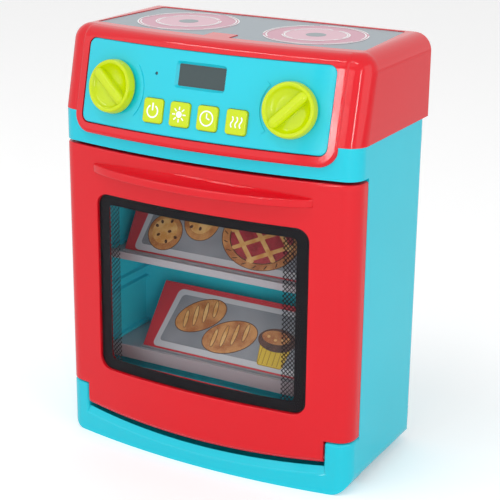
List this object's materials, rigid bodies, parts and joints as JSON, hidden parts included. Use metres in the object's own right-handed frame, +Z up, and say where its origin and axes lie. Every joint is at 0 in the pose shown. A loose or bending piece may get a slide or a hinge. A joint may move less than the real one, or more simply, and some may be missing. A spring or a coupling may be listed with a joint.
{
  "type": "toy oven",
  "caption": "Toy oven with bowed red drop-down door and window, leaning control panel with knobs and push buttons, hob on top and racks with picture cards inside.",
  "frame": {"origin": "on the ground in the middle of the overall footprint", "axes": "+X to the right seen from the front, -Y out of the front, +Z up"},
  "size_m": [0.2264, 0.1324, 0.2962],
  "materials": {
    "turquoise_plastic": "moulded gloss",
    "red_plastic": "moulded gloss",
    "lime_plastic": "moulded gloss",
    "grey_plastic": "moulded gloss",
    "hob_sheet": "moulded gloss",
    "display_glass": "moulded gloss",
    "clear_plastic": "clear tinted",
    "black_print": "moulded gloss",
    "card_print": "satin",
    "steel": "plated",
    "rubber": "matt",
    "board": "satin",
    "dark_plastic": "satin",
    "battery_wrap": "printed wrap",
    "light_lens": "moulded gloss"
  },
  "bodies": {
    "cabinet": {"cabinet_shell": "turquoise_plastic", "hinge_pins": "steel", "oven_liner": "turquoise_plastic", "door_catch": "grey_plastic", "hood": "red_plastic", "hob_plate": "hob_sheet", "hood_screws": "steel", "control_panel": "turquoise_plastic", "display_window": "display_glass", "indicator_light": "light_lens", "circuit_board": "board", "board_screws": "steel", "switch_pad": "rubber", "back_cover": "turquoise_plastic", "back_screws": "steel", "speaker": "dark_plastic", "battery_box": "dark_plastic", "batteries": "battery_wrap", "battery_contacts": "steel", "battery_door": "turquoise_plastic", "battery_door_screw": "steel"},
    "door": {"door_panel": "red_plastic", "window_pane": "clear_plastic", "window_border": "black_print", "door_inner_frame": "red_plastic", "door_screws": "steel"},
    "left_knob": {"left_knob": "lime_plastic", "left_knob_screw": "steel"},
    "right_knob": {"right_knob": "lime_plastic", "right_knob_screw": "steel"},
    "button_1": {"button_1": "lime_plastic"},
    "button_2": {"button_2": "lime_plastic"},
    "button_3": {"button_3": "lime_plastic"},
    "button_4": {"button_4": "lime_plastic"},
    "upper_rack": {"upper_rack": "grey_plastic", "upper_food_card": "card_print"},
    "lower_rack": {"lower_rack": "grey_plastic", "lower_food_card": "card_print"}
  },
  "joints": [
    {"name": "door_hinge", "type": "hinge", "parent": "cabinet", "child": "door", "pos_m": [0, -0.04145, 0.0255], "axis": [1, 0, 0], "range_deg": [0, 70]},
    {"name": "left_knob_turn", "type": "hinge", "parent": "cabinet", "child": "left_knob", "pos_m": [-0.0661, -0.04574, 0.26], "axis": [-0.1204, -0.9639, 0.2377], "range_deg": [-150, 150]},
    {"name": "right_knob_turn", "type": "hinge", "parent": "cabinet", "child": "right_knob", "pos_m": [0.0661, -0.04574, 0.26], "axis": [0.1204, -0.9639, 0.2377], "range_deg": [-150, 150]},
    {"name": "button_1_press", "type": "slide", "parent": "cabinet", "child": "button_1", "axis": [0, 0.9713, -0.2377], "range_m": [0, 0.0015], "stiffness_N_per_m": 150},
    {"name": "button_2_press", "type": "slide", "parent": "cabinet", "child": "button_2", "axis": [0, 0.9713, -0.2377], "range_m": [0, 0.0015], "stiffness_N_per_m": 150},
    {"name": "button_3_press", "type": "slide", "parent": "cabinet", "child": "button_3", "axis": [0, 0.9713, -0.2377], "range_m": [0, 0.0015], "stiffness_N_per_m": 150},
    {"name": "button_4_press", "type": "slide", "parent": "cabinet", "child": "button_4", "axis": [0, 0.9713, -0.2377], "range_m": [0, 0.0015], "stiffness_N_per_m": 150},
    {"name": "upper_rack_slide", "type": "slide", "parent": "cabinet", "child": "upper_rack", "axis": [0, -1, 0], "range_m": [0, 0.0045]},
    {"name": "lower_rack_slide", "type": "slide", "parent": "cabinet", "child": "lower_rack", "axis": [0, -1, 0], "range_m": [0, 0.0045]}
  ]
}
